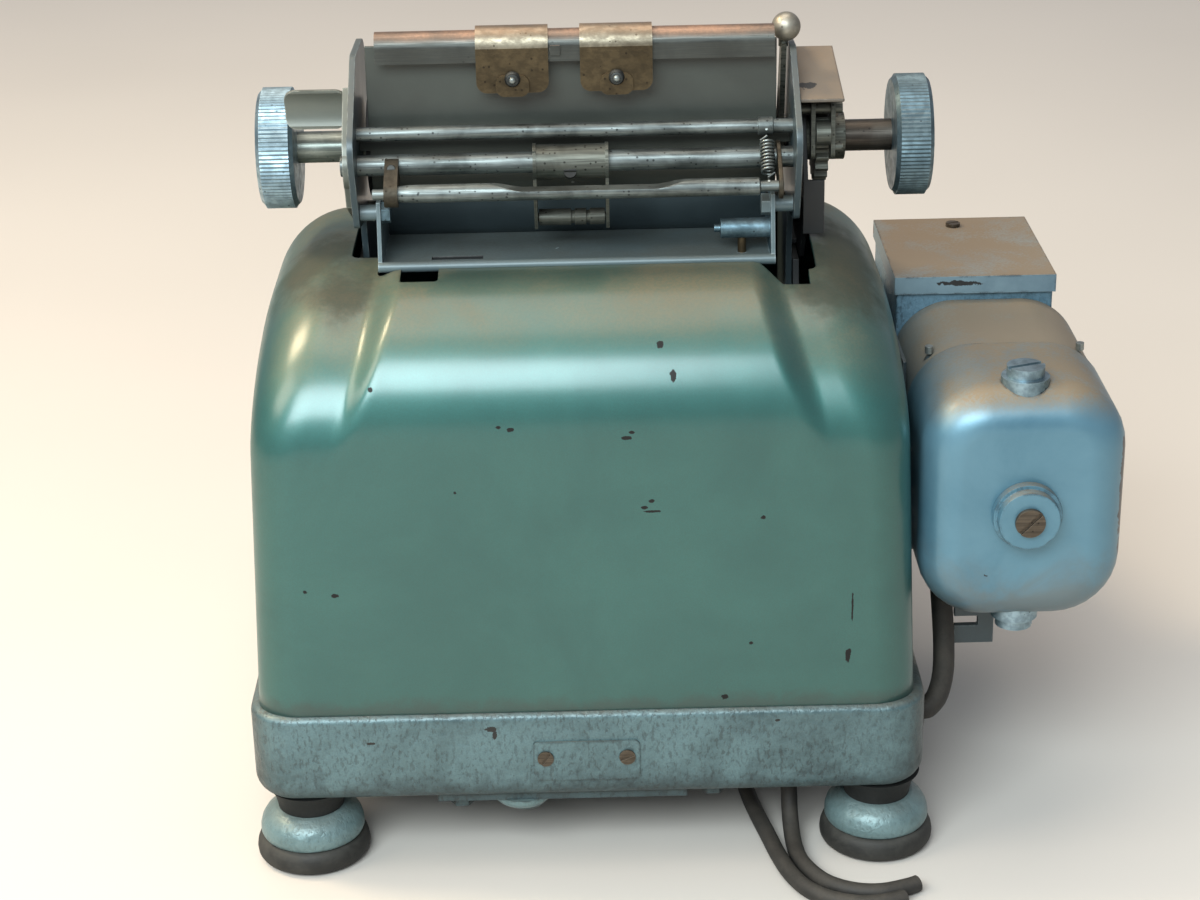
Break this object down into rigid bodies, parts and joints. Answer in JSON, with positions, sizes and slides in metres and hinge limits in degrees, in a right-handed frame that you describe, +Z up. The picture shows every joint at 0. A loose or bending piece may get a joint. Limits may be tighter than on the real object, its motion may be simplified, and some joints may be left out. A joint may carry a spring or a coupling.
{
  "type": "electric adding machine",
  "caption": "Desk adding machine with a keyboard deck, a platen carriage on the roof, a motor and gear box on one side and feet with rubber pads.",
  "frame": {"origin": "on the surface that the feet stand on, under the middle of the machine's box without its cords", "axes": "+Z up, +Y from the keyboard towards the rear wall, +X across the machine away from the motor"},
  "size_m": [0.332, 0.3902, 0.3147],
  "materials": {
    "base_enamel": "hammertone grey-green enamel, semi-gloss",
    "casing_enamel": "crackle grey-green enamel, satin",
    "dark_steel": "dark blue-grey enamel, worn",
    "bright_steel": "bare steel, dulled",
    "brown_steel": "brown lacquer, worn at the bends",
    "motor_enamel": "light blue-grey enamel, satin, dusty on top",
    "housing_enamel": "grey enamel, satin",
    "knob_enamel": "light blue-grey, semi-gloss, knurled rim",
    "black_rubber": "matt",
    "cord_sheath": "matt, worn",
    "winding": "varnished copper and iron",
    "wheel_bronze": "oiled",
    "key_ivory": "semi-gloss, dished",
    "key_slate": "semi-gloss, dished"
  },
  "bodies": {
    "machine": {"base_casting": "base_enamel", "casing": "casing_enamel", "belly_plate": "base_enamel", "bare_plate": "base_enamel", "small_screws": "bright_steel", "foot_caps": "base_enamel", "foot_rubbers": "black_rubber", "foot_bolts": "bright_steel", "motor_end_cover": "motor_enamel", "motor_housing": "housing_enamel", "bearing_boss": "motor_enamel", "brush_caps": "motor_enamel", "gear_box": "housing_enamel", "box_lid": "housing_enamel", "motor_bracket": "dark_steel", "mechanism_frame": "dark_steel", "carriage_plate_left": "dark_steel", "carriage_plate_right": "dark_steel", "paper_tray": "dark_steel", "paper_table": "dark_steel", "table_bar": "bright_steel", "stay_rod": "bright_steel", "release_spring": "bright_steel", "detent_cover": "brown_steel", "motor_lead": "cord_sheath", "mains_cord": "cord_sheath", "second_lead": "cord_sheath", "cord_grommets": "black_rubber", "keyboard_plate": "dark_steel"},
    "platen": {"platen": "black_rubber", "knob_left": "knob_enamel", "knob_right": "knob_enamel", "ratchet_wheel": "bright_steel"},
    "feed": {"feed_rolls": "black_rubber"},
    "release": {"release_shaft": "bright_steel", "release_yoke": "bright_steel", "bail_bar": "bright_steel", "release_lever": "dark_steel"},
    "roller": {"yoke_roller": "bright_steel"},
    "paper_lever": {"feed_lever": "bright_steel"},
    "guide_left": {"paper_guide_left": "brown_steel"},
    "guide_right": {"paper_guide_right": "brown_steel"},
    "detent": {"detent_arm": "bright_steel"},
    "motor": {"armature": "winding"},
    "drive": {"main_shaft": "wheel_bronze"},
    "sectors": {"type_sectors": "dark_steel"},
    "repeat": {"repeat_lever": "bright_steel"},
    "key_0_body": {"key_0": "key_ivory"},
    "key_1_body": {"key_1": "key_ivory"},
    "key_2_body": {"key_2": "key_ivory"},
    "key_3_body": {"key_3": "key_ivory"},
    "key_4_body": {"key_4": "key_ivory"},
    "key_5_body": {"key_5": "key_ivory"},
    "key_6_body": {"key_6": "key_ivory"},
    "key_7_body": {"key_7": "key_ivory"},
    "key_8_body": {"key_8": "key_ivory"},
    "key_9_body": {"key_9": "key_ivory"},
    "add_bar_body": {"add_bar": "key_slate"},
    "total_key_body": {"total_key": "key_slate"},
    "subtotal_key_body": {"subtotal_key": "key_slate"}
  },
  "joints": [
    {"name": "platen_turn", "type": "hinge", "parent": "machine", "child": "platen", "pos_m": [0.0335, 0.079, 0.2637], "axis": [1, 0, 0], "continuous": true},
    {"name": "feed_roll_turn", "type": "hinge", "parent": "machine", "child": "feed", "pos_m": [0.0335, 0.079, 0.2394], "axis": [1, 0, 0], "continuous": true},
    {"name": "release_swing", "type": "hinge", "parent": "machine", "child": "release", "pos_m": [0.0335, 0.112, 0.2655], "axis": [-1, 0, 0], "range_deg": [0, 15], "stiffness_Nm_per_rad": 0.4, "springref_deg": -20.05, "deforming": ["release_spring"]},
    {"name": "roller_spin", "type": "hinge", "parent": "release", "child": "roller", "pos_m": [0.0335, 0.108, 0.2429], "axis": [1, 0, 0], "continuous": true},
    {"name": "paper_release", "type": "hinge", "parent": "machine", "child": "paper_lever", "pos_m": [0.0335, 0.079, 0.2637], "axis": [1, 0, 0], "range_deg": [0, 35]},
    {"name": "guide_left_slide", "type": "slide", "parent": "machine", "child": "guide_left", "axis": [1, 0, 0], "range_m": [0, 0.034]},
    {"name": "guide_right_slide", "type": "slide", "parent": "machine", "child": "guide_right", "axis": [-1, 0, 0], "range_m": [0, 0.042]},
    {"name": "detent_swing", "type": "hinge", "parent": "machine", "child": "detent", "pos_m": [0.0335, 0.097, 0.2796], "axis": [1, 0, 0], "range_deg": [0, 8], "stiffness_Nm_per_rad": 0.4, "springref_deg": -17.19},
    {"name": "motor_turn", "type": "hinge", "parent": "machine", "child": "motor", "pos_m": [-0.128, 0.174, 0.144], "axis": [0, 1, 0], "continuous": true},
    {"name": "shaft_turn", "type": "hinge", "parent": "machine", "child": "drive", "pos_m": [0.0335, 0.024, 0.1225], "axis": [1, 0, 0], "continuous": true},
    {"name": "sectors_swing", "type": "hinge", "parent": "machine", "child": "sectors", "pos_m": [0.0335, 0.012, 0.15], "axis": [-1, 0, 0], "range_deg": [0, 6], "stiffness_Nm_per_rad": 1, "springref_deg": -17.19},
    {"name": "repeat_slide", "type": "slide", "parent": "machine", "child": "repeat", "axis": [0, 0.9272, 0.3746], "range_m": [0, 0.02]},
    {"name": "key_0_press", "type": "slide", "parent": "machine", "child": "key_0_body", "axis": [0, 0.3746, -0.9272], "range_m": [0, 0.0045], "stiffness_N_per_m": 180, "springref_m": -0.0045},
    {"name": "key_1_press", "type": "slide", "parent": "machine", "child": "key_1_body", "axis": [0, 0.3746, -0.9272], "range_m": [0, 0.0045], "stiffness_N_per_m": 180, "springref_m": -0.0045},
    {"name": "key_2_press", "type": "slide", "parent": "machine", "child": "key_2_body", "axis": [0, 0.3746, -0.9272], "range_m": [0, 0.0045], "stiffness_N_per_m": 180, "springref_m": -0.0045},
    {"name": "key_3_press", "type": "slide", "parent": "machine", "child": "key_3_body", "axis": [0, 0.3746, -0.9272], "range_m": [0, 0.0045], "stiffness_N_per_m": 180, "springref_m": -0.0045},
    {"name": "key_4_press", "type": "slide", "parent": "machine", "child": "key_4_body", "axis": [0, 0.3746, -0.9272], "range_m": [0, 0.0045], "stiffness_N_per_m": 180, "springref_m": -0.0045},
    {"name": "key_5_press", "type": "slide", "parent": "machine", "child": "key_5_body", "axis": [0, 0.3746, -0.9272], "range_m": [0, 0.0045], "stiffness_N_per_m": 180, "springref_m": -0.0045},
    {"name": "key_6_press", "type": "slide", "parent": "machine", "child": "key_6_body", "axis": [0, 0.3746, -0.9272], "range_m": [0, 0.0045], "stiffness_N_per_m": 180, "springref_m": -0.0045},
    {"name": "key_7_press", "type": "slide", "parent": "machine", "child": "key_7_body", "axis": [0, 0.3746, -0.9272], "range_m": [0, 0.0045], "stiffness_N_per_m": 180, "springref_m": -0.0045},
    {"name": "key_8_press", "type": "slide", "parent": "machine", "child": "key_8_body", "axis": [0, 0.3746, -0.9272], "range_m": [0, 0.0045], "stiffness_N_per_m": 180, "springref_m": -0.0045},
    {"name": "key_9_press", "type": "slide", "parent": "machine", "child": "key_9_body", "axis": [0, 0.3746, -0.9272], "range_m": [0, 0.0045], "stiffness_N_per_m": 180, "springref_m": -0.0045},
    {"name": "add_bar_press", "type": "slide", "parent": "machine", "child": "add_bar_body", "axis": [0, 0.3746, -0.9272], "range_m": [0, 0.0045], "stiffness_N_per_m": 180, "springref_m": -0.0045},
    {"name": "total_key_press", "type": "slide", "parent": "machine", "child": "total_key_body", "axis": [0, 0.3746, -0.9272], "range_m": [0, 0.0045], "stiffness_N_per_m": 180, "springref_m": -0.0045},
    {"name": "subtotal_key_press", "type": "slide", "parent": "machine", "child": "subtotal_key_body", "axis": [0, 0.3746, -0.9272], "range_m": [0, 0.0045], "stiffness_N_per_m": 180, "springref_m": -0.0045}
  ],
  "couplings": [
    {"joint": "feed_roll_turn", "follows": "platen_turn", "ratio": -3.8},
    {"joint": "shaft_turn", "follows": "motor_turn", "ratio": 0.033333}
  ]
}
